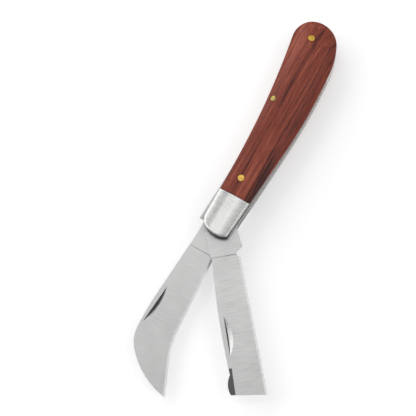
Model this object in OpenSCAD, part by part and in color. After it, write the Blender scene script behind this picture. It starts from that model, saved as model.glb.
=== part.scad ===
// Folding knife with two blades on one pivot: a hooked pruning blade and a
// straight, square-ended blade with a bark lifter. Two back springs, three
// liners, wooden scales, metal bolsters, riveted pins.
//
// Units are millimetres. +X runs from the blade pivot toward the tip of the
// opened pruning blade, +Y toward the blade slot, +Z up through the stack.
// The origin is on the pivot axis, on the outer face of the rear bolster,
// which is the face the closed or open knife lies on.

/* [Handle outline] */
// Distance from the pivot axis to the butt end
butt_reach = 96; // [92:0.5:102]
// Distance from the pivot axis to the corners of the bolsters' nose
nose_reach = 5.1; // [4.6:0.1:6.0]
// Distance from the pivot axis to the seam between bolster and wood
seam_reach = 12.2; // [10.5:0.1:15]
// Distance from the pivot axis to the straight back edge
back_reach = 7.7; // [7.5:0.1:8.2]
// Length of the straight back edge behind the pivot axis
back_straight = 18; // [16:0.5:24]
// Distance from the pivot axis to the slot-side edge
slot_reach = 5.16; // [5.0:0.02:5.8]
// Angle at which the slot-side edge widens toward the butt, degrees
slot_angle = 4.57; // [3.6:0.01:5.2]
// Distance from the pivot axis to the start of the belly arc
belly_start = 38; // [30:0.5:44]
// Radius of the long belly arc
belly_r = 250; // [200:1:320]
// Radius of the arc between belly and butt
haunch_r = 34; // [28:0.5:44]
// Radius of the upper quarter of the butt
butt_top_r = 11.15; // [10:0.05:12.5]
// Radius of the lower quarter of the butt
butt_low_r = 8.85; // [8:0.05:9.8]
// Distance of the butt tip below the pivot axis
butt_drop = 4.9; // [4.2:0.1:5.6]
// Corner radius of the nose on the back side
nose_back_r = 5; // [3.5:0.1:6]
// Corner radius of the nose on the slot side
nose_slot_r = 1.2; // [0.6:0.1:2]
// Radius of the nose's bow between its corners
nose_bow_r = 9; // [8.5:0.5:14]

/* [Stack thickness] */
// Thickness of a scale or bolster
cover_t = 3.6; // [3.2:0.1:4.5]
// Thickness of each liner
liner_t = 0.6; // [0.4:0.05:1.0]
// Thickness of each blade and spring layer
layer_t = 2.4; // [2.0:0.1:3.0]
// Running clearance on each face of a blade
blade_gap = 0.05; // [0.02:0.01:0.09]
// Radius of the crowned outer face, across the handle
crown_r = 28; // [26:0.5:40]
// Distance of the crown's crest below the pivot axis
crown_drop = 1.2; // [0.6:0.1:1.8]
// Radius of the outer face where it falls away to the butt
butt_crown_r = 60; // [45:1:80]
// Length of the butt end that falls away
butt_fall = 18; // [14:0.5:20]
// Depth of the flat ground on the crown, on which the knife rests
rest_flat = 0.08; // [0.04:0.01:0.12]

/* [Pins] */
// Diameter of the hidden pivot pin
pivot_d = 4; // [3:0.1:4.6]
// Length of metal left over each end of the pivot pin
pivot_cap = 0.9; // [0.6:0.1:1.5]
// Radial running clearance between blade and pivot pin
pivot_gap = 0.03; // [0.02:0.01:0.08]
// Diameter of the butt pin and the scale pins
pin_d = 2.7; // [2.2:0.1:3.2]
// Diameter of the rocker pin
rocker_d = 2.4; // [2.0:0.1:2.8]
// Distance of the rocker pin behind the pivot axis
rocker_back = 56.5; // [52:0.5:60]
// Distance of the rocker pin from the back edge beside it
rocker_in = 2.5; // [2.2:0.1:3.2]
// Distance of the butt pin ahead of the butt end
butt_pin_in = 8.6; // [7.5:0.1:10]
// Distance of the butt pin below the pivot axis
butt_pin_drop = 5.6; // [4.8:0.1:6.4]
// Distance of the scale pins behind the pivot axis
scale_pin_back = 19.9; // [18:0.1:24]
// Distance of the scale pins below the pivot axis
scale_pin_drop = 2.05; // [1:0.05:3]

/* [Tang and springs] */
// Distance from the pivot axis to each flat of the square tang
tang_half = 5.4; // [5.2:0.05:5.8]
// Radius of the tang's rounded corners, from the pivot axis
tang_corner_r = 7.1; // [6.6:0.05:7.4]
// Distance from the pivot axis to the shoulder the spring's end meets
shoulder_reach = 2.05; // [1.6:0.05:2.6]
// Gap between the spring's end and the shoulder
shoulder_gap = 0.12; // [0.05:0.01:0.25]
// Turn from fully open to fully closed, degrees
closed_turn = 175.5; // [174.5:0.1:176]
// Turn of the straight blade from fully open as the knife is shown, degrees
half_open = 40; // [38:0.5:42]
// Width of each spring's long arm
spring_arm = 2.3; // [2.1:0.05:2.5]
// Width of each spring between rocker pin and butt
spring_tail = 2.5; // [2.2:0.1:2.8]
// Radius of the spring's lug around the rocker pin
lug_r = 2.9; // [2.5:0.1:3.3]
// Bend of the raised spring between rocker pin and end, degrees
raised_bend = 8.9; // [8.6:0.05:9.3]
// Gap between a spring and the tang it bears on
spring_gap = 0.02; // [0.01:0.01:0.05]
// Clearance radius swept free for the folded blade tips
tip_sweep = 75.6; // [75.2:0.1:77]
// Height of the kick above the closing flat
kick_h = 0.2; // [0.1:0.02:0.3]

/* [Pruning blade] */
// Distance from pivot to the hooked tip along X
hook_x = 73; // [71:0.1:74]
// Distance from pivot to the hooked tip along Y
hook_y = 14.2; // [13.4:0.1:14.6]
// Direction of the back edge at the tip, degrees
hook_dir = 82; // [78:0.5:86]
// Radius of the back edge behind the tip
hook_r = 34; // [32:0.5:36]
// Direction of the back edge where the two curves meet, degrees
hook_mid_dir = 42; // [40:0.5:44]
// Radius of the back edge at the blade's belly
hook_belly_r = 14; // [13:0.5:15]
// Radius of the long back edge ahead of the belly
hook_back_r = 130; // [110:1:160]
// Direction of the cutting edge at the tip, degrees
hook_edge_dir = 23; // [21:0.5:25]
// Length of the straight cutting edge behind the tip
hook_edge_len = 16.3; // [14:0.1:18]
// Radius of the cutting edge's inner curve
hook_edge_r = 34.5; // [30:0.5:40]
// Direction of the cutting edge near the heel, degrees
heel_dir = 3; // [2:0.1:4]

/* [Straight blade] */
// Distance from the pivot axis to the square end, at the edge
square_reach = 72; // [69:0.1:73]
// Distance from the pivot axis to the cutting edge
edge_reach = 4.8; // [4.4:0.1:5.2]
// Lean of the square end, degrees
end_lean = 10; // [6:0.5:14]
// Radius of the shallow back edge
spine_r = 318; // [260:1:400]
// Radius of the bark lifter's bump
lifter_r = 8; // [6:0.1:10]
// Distance from the square end back to the middle of the bark lifter's bump
lifter_back = 5.6; // [5:0.1:7]
// Distance from the pivot axis to the lifter's outermost point
lifter_reach = 10.3; // [9.8:0.1:10.8]
// Depth of the chamfer on the bark lifter
lifter_chamfer = 1.6; // [1.0:0.1:1.8]
// Width of the chamfer on the bark lifter
lifter_chamfer_w = 2.7; // [2.2:0.1:3.2]
// Length of the chamfer on the bark lifter
lifter_len = 13; // [11:0.5:15]

/* [Grinds and nicks] */
// Distance from the pivot axis to the plunge line
plunge_at = 13.3; // [12.8:0.1:14]
// Distance of the choil notch behind the plunge line
choil_back = 0.25; // [0.1:0.05:0.5]
// Distance of the choil notch from the long axis of the blade
choil_out = 4.75; // [4.5:0.05:5]
// Radius of the choil notch
choil_r = 1.45; // [1.2:0.05:1.7]
// Distance from the pivot axis to the pruning blade's nail nick
hook_nick_at = 33.4; // [30:0.2:36]
// Distance of the pruning blade's nail nick from the line of its back
hook_nick_in = 0.45; // [0.3:0.05:0.8]
// Distance from the pivot axis to the straight blade's nail nick
straight_nick_at = 37.9; // [34:0.2:40]
// Distance of the straight blade's nail nick from the line of the tang's back
straight_nick_in = 1.35; // [1.1:0.05:1.8]
// Depth the flats are ground below the tang at the back edge
grind_back = 0.12; // [0.06:0.01:0.2]
// Depth the flats are ground below the tang at the cutting edge
grind_edge = 0.82; // [0.6:0.01:0.9]
// Width of the ground flat from edge to back
grind_w = 15; // [13:0.5:18]
// Width of the final bevel along the edge
bevel_w = 0.9; // [0.5:0.05:1.2]
// Half thickness left at the cutting edge
edge_left = 0.03; // [0.02:0.01:0.06]
// Length of each nail nick
nick_len = 16; // [13:0.5:18]
// Depth of each nail nick
nick_depth = 0.6; // [0.4:0.05:0.8]
// Width of each nail nick
nick_w = 2.3; // [1.8:0.1:2.8]

/* [Hidden] */
$fn = 96;
e = 0.01;

// stack heights
z_rear_liner = cover_t;
z_rear_layer = cover_t + liner_t;
z_centre = z_rear_layer + layer_t;
z_front_layer = z_centre + liner_t;
z_front_liner = z_front_layer + layer_t;
z_front_cover = z_front_liner + liner_t;
z_top = z_front_cover + cover_t;
blade_t = layer_t - 2 * blade_gap;

function dir(a) = [cos(a), sin(a)];
function perp(v) = [-v[1], v[0]];
// the point at distance r0 from c0 and r1 from c1, on the left of c0-c1 when s = 1
function meet(c0, r0, c1, r1, s) =
    let (d = norm(c1 - c0), u = (c1 - c0) / d,
         a = (d * d + r0 * r0 - r1 * r1) / (2 * d), h = sqrt(max(0, r0 * r0 - a * a)))
    c0 + a * u + s * h * perp(u);
function ang(v) = atan2(v[1], v[0]);

// handle outline: belly line, belly arc, haunch, butt, back arc
slot_n = [sin(slot_angle), cos(slot_angle)];
function slot_y(x) = slot_reach - x * tan(slot_angle);
p_belly = [-belly_start, slot_y(-belly_start)];
c_belly = p_belly - belly_r * slot_n;
c_top = [-butt_reach + butt_top_r, -butt_drop];
c_low = [-butt_reach + butt_low_r, -butt_drop];
c_haunch = meet(c_belly, belly_r - haunch_r, c_top, haunch_r - butt_top_r, -1);
p_haunch = c_belly + belly_r * (c_haunch - c_belly) / (belly_r - haunch_r);
p_butt = c_haunch + haunch_r * (c_top - c_haunch) / (haunch_r - butt_top_r);
back_dx = c_low[0] + back_straight;
back_dy = back_reach - butt_drop;
back_r = (back_dx * back_dx + back_dy * back_dy - butt_low_r * butt_low_r) / (2 * (butt_low_r - back_dy));
c_back = [-back_straight, -back_reach - back_r];
p_back = c_back + back_r * (c_low - c_back) / (back_r + butt_low_r);
function back_y(x) = x > -back_straight ? -back_reach
    : c_back[1] + sqrt(back_r * back_r - (x - c_back[0]) * (x - c_back[0]));

c_nose = [nose_reach - nose_slot_r, slot_y(nose_reach - nose_slot_r) - nose_slot_r / cos(slot_angle)];

// pins
rocker = [-rocker_back, back_y(-rocker_back) + rocker_in];
butt_pin_at = [-butt_reach + butt_pin_in, -butt_pin_drop];
scale_pin_at = [-scale_pin_back, -scale_pin_drop];

// points along an arc, without its first one
function arc(c, r, a0, a1, n) = [for (i = [1:n]) c + r * dir(a0 + (a1 - a0) * i / n)];
c_nose_back = [nose_reach - nose_back_r, -back_reach + nose_back_r];
c_bow = meet(c_nose_back, nose_bow_r - nose_back_r, c_nose, nose_bow_r - nose_slot_r, 1);
bow_a0 = ang(c_nose_back - c_bow);
bow_a1 = ang(c_nose - c_bow);
handle_pts = concat(
    arc(c_nose_back, nose_back_r, -90, bow_a0, 6),
    arc(c_bow, nose_bow_r, bow_a0, bow_a1, 8),
    arc(c_nose, nose_slot_r, bow_a1, 90 - slot_angle, 6),
    [p_belly],
    arc(c_belly, belly_r, 90 - slot_angle, ang(p_haunch - c_belly), 12),
    arc(c_haunch, haunch_r, ang(p_haunch - c_haunch), ang(p_butt - c_haunch), 8),
    arc(c_top, butt_top_r, ang(p_butt - c_top), 180, 12),
    arc(c_low, butt_low_r, -180, ang(p_back - c_low), 14),
    arc(c_back, back_r, ang(p_back - c_back), 90, 18));
module handle_2d() { polygon(handle_pts); }

// one half of the outer shell, from its flat inner face at z = 0 up to cover_t
module crowned(x0, x1) {
    intersection() {
        linear_extrude(cover_t) handle_2d();
        translate([-butt_reach - 10, -crown_drop, cover_t + rest_flat - crown_r]) rotate([0, 90, 0])
            cylinder(r = crown_r, h = butt_reach + nose_reach + 20, $fn = 360);
        translate([x0, -30, -1]) cube([x1 - x0, 60, cover_t + 2]);
    }
}
fall_x = butt_fall - butt_reach;
module cover(x0, x1) {
    crowned(max(x0, fall_x), x1);
    if (x0 < fall_x) intersection() {
        crowned(x0, fall_x);
        translate([fall_x, 30, cover_t + 0.3 - butt_crown_r]) rotate([90, 0, 0])
            cylinder(r = butt_crown_r, h = 60, $fn = 360);
    }
}
// the flat inner face is turned to the liner: front as it is, rear upside down
module as_front() { translate([0, 0, z_front_cover]) children(); }
module as_rear() { translate([0, 0, cover_t]) mirror([0, 0, 1]) children(); }

module wood() {
    difference() {
        cover(-butt_reach - 5, -seam_reach);
        for (p = [[butt_pin_at, pin_d], [scale_pin_at, pin_d], [rocker, rocker_d]])
            translate([p[0][0], p[0][1], -1]) cylinder(d = p[1], h = cover_t + 2);
    }
}
module metal() {
    difference() {
        cover(-seam_reach, nose_reach + 5);
        translate([0, 0, -1]) cylinder(d = pivot_d, h = cover_t + 1 - pivot_cap);
    }
}
module liner(z, through) {
    translate([0, 0, z]) difference() {
        linear_extrude(liner_t) handle_2d();
        for (p = concat([[[0, 0], pivot_d], [butt_pin_at, pin_d], [rocker, rocker_d]],
                        through ? [[scale_pin_at, pin_d]] : []))
            translate([p[0][0], p[0][1], -1]) cylinder(d = p[1], h = liner_t + 2);
    }
}

// springs --------------------------------------------------------------
pad_y = -tang_half - spring_gap;
kick_at = 2 * tang_half;
relief_r = 12;
kick_relief = kick_h + 0.2;
module spring_head() {
    tip_x = shoulder_reach - shoulder_gap;
    difference() {
        polygon([[-back_straight - 1, -back_reach], [tip_x, -back_reach], [tip_x, pad_y], [-back_straight - 1, pad_y]]);
        // relief under the folded kick
        translate([-kick_at - 0.8, pad_y - kick_relief + relief_r]) circle(relief_r);
    }
}
module spring_2d(raised) {
    difference() {
        union() {
            // tail and butt filler
            intersection() {
                handle_2d();
                union() {
                    intersection() {
                        translate(c_back) circle(back_r + spring_tail, $fn = 720);
                        translate([-butt_reach, -30]) square([butt_reach + rocker[0], 60]);
                    }
                    difference() {
                        translate([-butt_reach - 1, -30]) square([butt_reach - 60, 60]);
                        circle(tip_sweep);
                    }
                }
            }
            intersection() { handle_2d(); translate(rocker) circle(lug_r); }
            if (raised) raised_arm(); else relaxed_arm();
        }
        translate(rocker) circle(d = rocker_d);
        translate(butt_pin_at) circle(d = pin_d);
    }
}
module relaxed_arm() {
    difference() {
        intersection() {
            translate(c_back) circle(back_r + spring_arm, $fn = 720);
            translate([rocker[0], -30]) square([-rocker[0] - back_straight, 60]);
        }
        translate(c_back) circle(back_r, $fn = 720);
    }
    spring_head();
}
// the raised arm starts in line with the relaxed one at the rocker pin
foot = [rocker[0], back_y(rocker[0])];
foot_n = (foot - c_back) / back_r;
head_a = ang(foot_n) - raised_bend;
// the straight end lies on the tang's rounded corner
raised_r = (-foot * dir(head_a) - tang_corner_r - spring_gap - spring_arm) / (1 - cos(raised_bend));
c_raised = foot - raised_r * foot_n;
head_p = c_raised + raised_r * dir(head_a);
module raised_arm() {
    difference() {
        intersection() {
            translate(c_raised) circle(raised_r + spring_arm, $fn = 720);
            polygon([c_raised + (raised_r - 3) * foot_n, c_raised + (raised_r + 8) * foot_n,
                     c_raised + (raised_r + 8) * dir(head_a), c_raised + (raised_r - 3) * dir(head_a)]);
        }
        translate(c_raised) circle(raised_r, $fn = 720);
    }
    // straight end, square to the back edge
    len = (shoulder_reach - shoulder_gap - head_p[0]) / sin(head_a);
    translate(head_p) rotate(head_a - 90) difference() {
        translate([-0.05, 0]) square([len + 0.05, spring_arm]);
        translate([len - kick_at - 0.8 - shoulder_reach, spring_arm - kick_relief + relief_r]) circle(relief_r);
    }
}
module spring(z, raised) {
    translate([0, 0, z]) linear_extrude(layer_t) spring_2d(raised);
}

// blades, drawn fully open ---------------------------------------------
shut_a = 270 - closed_turn;             // direction of the closing flat's normal
shut_n = dir(shut_a);
shut_t = [shut_n[1], -shut_n[0]];       // along the closing flat, toward the tip
function shut_p(s, h) = (tang_half + h) * shut_n + s * shut_t;

corner_a = acos(tang_half / tang_corner_r);
// from the closing flat round the square tang to the foot of the shoulder
tang_pts = concat(
    [tang_corner_r * dir(shut_a + corner_a)],
    arc([0, 0], tang_corner_r, shut_a + corner_a, 180 - corner_a, 3),
    arc([0, 0], tang_corner_r, 180 + corner_a - 0.01, 270 - corner_a, 4),
    [[shoulder_reach, -tang_half], [shoulder_reach, -back_reach]]);
kick_p = shut_p(kick_at + 0.1, kick_h);
choil_c = [plunge_at - choil_back, choil_out];
far = hook_x + square_reach;

// running from one heading to another on a left-hand curve
function sweep(r, a0, a1) = r * [sin(a1) - sin(a0), cos(a0) - cos(a1)];
hook_p = [hook_x, hook_y];
h_mid = hook_p - sweep(hook_r, hook_mid_dir, hook_dir);
h_belly = h_mid - sweep(hook_belly_r, heel_dir, hook_mid_dir);
h_back = h_belly - sweep(hook_back_r, -4, heel_dir);
h_edge1 = hook_p - hook_edge_len * dir(hook_edge_dir);
h_edge0 = h_edge1 - sweep(hook_edge_r, heel_dir, hook_edge_dir);
function heel_y(x) = h_edge0[1] - (h_edge0[0] - x) * tan(heel_dir);
c_hook = h_mid + hook_r * dir(hook_mid_dir + 90);
c_hbelly = h_mid + hook_belly_r * dir(hook_mid_dir + 90);
c_hback = h_belly + hook_back_r * dir(heel_dir + 90);
c_hedge = h_edge1 + hook_edge_r * dir(hook_edge_dir + 90);
spine_join = [plunge_at - 4.3, -back_reach - 0.07];

pruning_pts = concat(
    tang_pts,
    [spine_join, h_back],
    arc(c_hback, hook_back_r, -94, heel_dir - 90, 6),
    arc(c_hbelly, hook_belly_r, heel_dir - 90, hook_mid_dir - 90, 8),
    arc(c_hook, hook_r, hook_mid_dir - 90, hook_dir - 90, 12),
    [h_edge1],
    arc(c_hedge, hook_edge_r, hook_edge_dir - 90, heel_dir - 90, 8),
    [[choil_c[0] + 1, heel_y(choil_c[0] + 1)], choil_c, [choil_c[0] - choil_r + 0.05, choil_c[1]],
     kick_p, shut_p(kick_at - 2, 0)]);
module notched() {
    difference() {
        children();
        translate(choil_c) circle(choil_r);
        circle(d = pivot_d + 2 * pivot_gap);
    }
}
module pruning_2d() { notched() polygon(pruning_pts); }

square_p = [square_reach, edge_reach];
end_d = [-sin(end_lean), -cos(end_lean)];
c_lift = [square_reach - lifter_back, lifter_r - lifter_reach];
end_b = (c_lift - square_p) * end_d;
end_low = square_p + (end_b + sqrt(end_b * end_b - (square_p - c_lift) * (square_p - c_lift) + lifter_r * lifter_r)) * end_d;
s_spine0 = [plunge_at + 1.3, -back_reach + 0.75];
lift_a = 232;
s_spine1 = c_lift + lifter_r * dir(lift_a);
c_spine = meet(s_spine0, spine_r, s_spine1, spine_r, 1);
straight_pts = concat(
    tang_pts,
    [[plunge_at - 2.3, -back_reach + 0.3], s_spine0],
    arc(c_spine, spine_r, ang(s_spine0 - c_spine), ang(s_spine1 - c_spine), 10),
    arc(c_lift, lifter_r, lift_a, 360 + ang(end_low - c_lift), 8),
    [square_p, [choil_c[0] + choil_r - 0.05, edge_reach], choil_c, [choil_c[0] - choil_r + 0.05, choil_c[1]],
     kick_p, shut_p(kick_at - 2, 0)]);
module straight_2d() { notched() polygon(straight_pts); }

// the wedge ground off one face, seen with the edge along +X at y = 0 and the blade at y < 0;
// the face is at z = 0 and metal is below it
slope = (grind_edge - grind_back) / grind_w;
half_edge = blade_t / 2 - grind_edge;
module grind_profile() {
    // (distance inward from the edge, height)
    polygon([[-3, 3], [-3, -grind_edge - 3 * slope], [grind_w + 5, -grind_back + 5 * slope], [grind_w + 5, 3]]);
    polygon([[-3, 3], [-3, -blade_t / 2 + edge_left - 3 * (half_edge - edge_left) / bevel_w],
             [bevel_w, -grind_edge + bevel_w * slope], [bevel_w, 3]]);
}
// p on the edge, a its direction, from s0 to s1 along it
module straight_grind(p, a, s0, s1) {
    translate([p[0], p[1], 0]) rotate([0, 0, a]) translate([s1, 0, 0]) rotate([0, 0, -90])
        rotate([90, 0, 0]) linear_extrude(s1 - s0) grind_profile();
}
// a shade deeper than the straight ones that it runs on into, so that they meet in a clean line
grind_step = 0.01;
run_on = 1.6;
module curved_grind(c, r, a0, a1) {
    translate([c[0], c[1], -grind_step]) rotate([0, 0, a0]) rotate_extrude(angle = a1 - a0, $fn = 360) translate([r, 0]) grind_profile();
}
// a nick whose straight wall starts at p and runs in direction a; the shallow side is to the left
nick_tilt = atan(nick_depth / nick_w);
nick_r = nick_len * nick_len / (8 * nick_depth) + nick_depth / 2;
module nick(p, a, z) {
    translate([p[0], p[1], z]) rotate([0, 0, a]) translate([nick_len / 2, 0, 0]) rotate([nick_tilt, 0, 0])
        translate([0, 0, nick_r - nick_depth]) rotate([-90, 0, 0]) translate([0, 0, -0.15]) cylinder(r = nick_r, h = nick_w * 2.2, $fn = 360);
}
module faces(z) {
    translate([0, 0, z + blade_t]) children();
    translate([0, 0, z]) mirror([0, 0, 1]) children();
}
module behind_plunge() { translate([plunge_at, -far / 2, -far / 2]) cube(far); }

// how far a nick or the chamfer starts below the ground face at the back, and the chamfer's fall
nick_sunk = 0.2;
chamfer_d = [1, lifter_chamfer / lifter_chamfer_w];
module pruning(z) {
    difference() {
        translate([0, 0, z]) linear_extrude(blade_t) pruning_2d();
        faces(z) intersection() {
            behind_plunge();
            union() {
                straight_grind(h_edge0, heel_dir, -60, 0);
                curved_grind(c_hedge, hook_edge_r, heel_dir - 90 - run_on, hook_edge_dir - 90 + run_on);
                straight_grind(h_edge1, hook_edge_dir, 0, 40);
            }
        }
        nick([hook_nick_at, hook_nick_in - back_reach], -4.6, z + blade_t - grind_back - nick_sunk);
    }
}
module straight(z) {
    difference() {
        translate([0, 0, z]) linear_extrude(blade_t) straight_2d();
        faces(z) intersection() {
            behind_plunge();
            straight_grind([square_reach, edge_reach], 0, -far, 20);
        }
        nick([straight_nick_at, straight_nick_in - back_reach], -1.5, z + blade_t - grind_back - nick_sunk);
        // chamfer of the bark lifter
        translate([square_reach - lifter_len, lifter_chamfer_w + 0.15 - lifter_reach, z + blade_t - grind_back - nick_sunk])
            rotate([0, 0, -3]) rotate([90, 0, 90]) linear_extrude(lifter_len + 7)
                polygon([[0, 0], 1.2 * chamfer_d, [1.2, 3], [-5, 3], -5 * chamfer_d]);
    }
}

// nodes ------------------------------------------------------------------
wood_c = [0.52, 0.25, 0.18];
steel_c = [0.78, 0.78, 0.77];
brass_c = [0.83, 0.68, 0.36];

module rear_scale() { color(wood_c) as_rear() wood(); }
module front_scale() { color(wood_c) as_front() wood(); }
module rear_bolster() { color(steel_c) as_rear() metal(); }
module front_bolster() { color(steel_c) as_front() metal(); }
module rear_liner() { color(brass_c) liner(z_rear_liner, true); }
module centre_liner() { color(brass_c) liner(z_centre, false); }
module front_liner() { color(brass_c) liner(z_front_liner, true); }
module pruning_blade() { color(steel_c) pruning(z_rear_layer + blade_gap); }
module straight_blade() { color(steel_c) rotate([0, 0, half_open]) straight(z_front_layer + blade_gap); }
module rear_spring() { color(steel_c) spring(z_rear_layer, false); }
module front_spring() { color(steel_c) spring(z_front_layer, true); }
module pivot_pin() { color(steel_c) translate([0, 0, pivot_cap]) cylinder(d = pivot_d, h = z_top - 2 * pivot_cap); }

// a flush pin end sits at the height of the crown beside it
function sag(p, r) = max(0, crown_r - rest_flat - sqrt(crown_r * crown_r - pow(abs(p[1] + crown_drop) + r, 2)),
                         butt_crown_r - 0.3 - sqrt(butt_crown_r * butt_crown_r - pow(max(0, -p[0] + r - butt_reach + butt_fall), 2)));
module rod(p, d, z0, z1) { translate([p[0], p[1], z0]) cylinder(d = d, h = z1 - z0); }
module through_pin(p, d) { s = sag(p, d / 2); rod(p, d, s, z_top - s); }
module rocker_pin() { color(brass_c) through_pin(rocker, rocker_d); }
module butt_pin() { color(brass_c) through_pin(butt_pin_at, pin_d); }
module front_scale_pin() { color(brass_c) rod(scale_pin_at, pin_d, z_front_liner, z_top - sag(scale_pin_at, pin_d / 2)); }
module rear_scale_pin() { color(brass_c) rod(scale_pin_at, pin_d, sag(scale_pin_at, pin_d / 2), z_rear_layer); }

rear_scale();
front_scale();
rear_bolster();
front_bolster();
rear_liner();
centre_liner();
front_liner();
pruning_blade();
straight_blade();
rear_spring();
front_spring();
pivot_pin();
rocker_pin();
butt_pin();
front_scale_pin();
rear_scale_pin();
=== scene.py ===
import math

import bmesh
import bpy
import numpy as np
from bpy.props import FloatProperty, FloatVectorProperty, PointerProperty
from mathutils import Matrix, Vector


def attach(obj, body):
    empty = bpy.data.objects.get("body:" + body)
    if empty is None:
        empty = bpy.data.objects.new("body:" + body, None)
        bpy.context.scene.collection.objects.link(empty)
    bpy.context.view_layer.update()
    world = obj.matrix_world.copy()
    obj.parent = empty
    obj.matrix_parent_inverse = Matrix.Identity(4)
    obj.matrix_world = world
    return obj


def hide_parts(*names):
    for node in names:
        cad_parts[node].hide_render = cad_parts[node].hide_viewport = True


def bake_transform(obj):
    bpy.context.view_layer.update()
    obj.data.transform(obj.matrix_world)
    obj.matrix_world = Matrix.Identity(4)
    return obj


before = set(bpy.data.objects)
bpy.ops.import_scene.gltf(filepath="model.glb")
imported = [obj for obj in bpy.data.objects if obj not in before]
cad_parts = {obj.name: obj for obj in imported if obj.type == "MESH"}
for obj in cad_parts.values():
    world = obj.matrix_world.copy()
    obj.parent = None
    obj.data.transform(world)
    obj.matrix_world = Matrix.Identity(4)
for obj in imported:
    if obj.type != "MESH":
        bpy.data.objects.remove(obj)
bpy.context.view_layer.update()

bl_info = {
    "name": "Pruning and straight folding knife",
    "version": (1, 0, 0),
    "blender": (4, 5, 0),
    "location": "View3D > Sidebar > Knife",
    "description": "Builds a two-bladed folding knife around its solids",
    "category": "Object",
}

MM = 0.001


# ---------------------------------------------------------------- settings

def size(name, description, default):
    """A length property in metres, given in millimetres."""
    return FloatProperty(name=name, description=description, default=default * MM,
                         unit="LENGTH", precision=5)


def tint(name, description, default):
    """A colour property."""
    return FloatVectorProperty(name=name, description=description, default=default,
                               subtype="COLOR", size=3, min=0, max=1)


class KnifeHandleSettings(bpy.types.PropertyGroup):
    """Sizes of the handle's shell and what it holds."""
    bolster_shoulder: size("Bolster shoulder", "Width of the rounded edge along a bolster", 0.6)
    butt_shoulder: size("Butt shoulder", "Width of the rounded edge of the wood at the butt", 3.6)
    seam_gap: size("Seam gap", "Gap between bolster and wood", 0.10)
    pin_ring: size("Pin ring", "Gap between a pin and the wood around it", 0.17)
    pin_dome: size("Pin dome", "Height of a pin's polished head above the wood", 0.10)
    plate_round: size("Plate rounding", "Rounding along the edges of liners and springs", 0.13)


class KnifeBladeSettings(bpy.types.PropertyGroup):
    """Sizes of the blades' finish."""
    edge_round: size("Edge rounding", "Rounding along the spines and tangs", 0.14)
    nick_depth: size("Nick depth", "Depth of the straight blade's nail nick at its wall", 0.7)
    nick_width: size("Nick width", "Width of the floor of the straight blade's nail nick", 2.0)


class KnifeFinishSettings(bpy.types.PropertyGroup):
    """Colours of the finishes; some of them stand for painted shade and painted highlight."""
    wood: tint("Wood", "Middle tone of the wood", (0.262, 0.050, 0.029))
    wood_dark: tint("Dark grain", "Tone of the dark streaks", (0.046, 0.010, 0.008))
    wood_light: tint("Light grain", "Tone of the light streaks", (0.440, 0.112, 0.062))
    bolster: tint("Bolster steel", "Tone of the satin bolsters", (0.74, 0.74, 0.73))
    # wall: painted shade, a near-black tone on the bolsters' upright walls for the shade under the nose
    # and along the slot
    wall: tint("Bolster wall", "Tone of the bolsters' upright walls", (0.06, 0.06, 0.06))
    blade: tint("Blade steel", "Tone of the ground blades", (0.68, 0.68, 0.675))
    # cut: painted shade, the dark tone given to the nicks' walls and the bark lifter's chamfer
    cut: tint("Dark cuts", "Tone of the nicks' walls and the bark lifter's chamfer", (0.10, 0.10, 0.10))
    spring: tint("Spring steel", "Tone of the springs", (0.55, 0.55, 0.545))
    liner: tint("Liner brass", "Tone of the liners", (0.72, 0.58, 0.33))
    # liner_slot_highlight: painted highlight, the paler tone of the liners towards the slot side
    liner_slot_highlight: tint("Highlighted liner", "Tone of the liners' edges on the slot side", (0.86, 0.86, 0.83))
    pin: tint("Pin brass", "Tone of the polished scale pins", (0.95, 0.60, 0.14))
    # pin_lit_satin: a satin, rougher butt pin, its lighter brass a painted highlight
    pin_lit_satin: tint("Butt pin brass", "Tone of the satin butt pin", (1.0, 0.672, 0.119))
    # pin_shaded: painted shade, a darker copy of the pin brass for the rocker pin
    pin_shaded: tint("Rocker pin brass", "Tone of the dull rocker pin", (0.494, 0.372, 0.126))


def level(name, description, default):
    """A strength that can't be negative."""
    return FloatProperty(name=name, description=description, default=default, min=0)


class KnifeStudioSettings(bpy.types.PropertyGroup):
    """The stage's light."""
    key: level("Key light", "Power of the large soft light", 1.0)
    top: level("Top light", "Power of the long light overhead", 1.0)
    fill: level("Fill light", "Power of the light on the slot side", 1.0)
    room: level("Room", "Brightness of the room all round", 0.34)


# ------------------------------------------------------- plane geometry, mm

def way(angle):
    """Unit vector at an angle in degrees."""
    return np.array([math.cos(math.radians(angle)), math.sin(math.radians(angle))])


def angle_of(v):
    """The heading of a vector, in degrees."""
    return math.degrees(math.atan2(v[1], v[0]))


def arc(centre, radius, a0, a1, n):
    """n points along an arc, without its first one."""
    return [np.array(centre) + radius * way(a0 + (a1 - a0) * i / n) for i in range(1, n + 1)]


def meet(c0, r0, c1, r1, side):
    """The point at distance r0 from c0 and r1 from c1, on the left of c0-c1 when side is 1."""
    c0, c1 = np.array(c0, float), np.array(c1, float)
    d = np.linalg.norm(c1 - c0)
    u = (c1 - c0) / d
    a = (d * d + r0 * r0 - r1 * r1) / (2 * d)
    h = math.sqrt(max(0.0, r0 * r0 - a * a))
    return c0 + a * u + side * h * np.array([-u[1], u[0]])


def turned(radius, a0, a1):
    """The step made by running from heading a0 to a1 on a left-hand curve."""
    s, c = math.sin, math.cos
    a0, a1 = math.radians(a0), math.radians(a1)
    return radius * np.array([s(a1) - s(a0), c(a0) - c(a1)])


def inset(points, distance):
    """A closed outline, anticlockwise, moved inwards."""
    p = np.array(points)
    e = np.roll(p, -1, 0) - p
    e /= np.linalg.norm(e, axis=1)[:, None]
    n = np.stack([-e[:, 1], e[:, 0]], 1)
    m = n + np.roll(n, 1, 0)
    m /= np.maximum((m * np.roll(n, 1, 0)).sum(1), 0.35)[:, None]
    return p + m * distance


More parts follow.
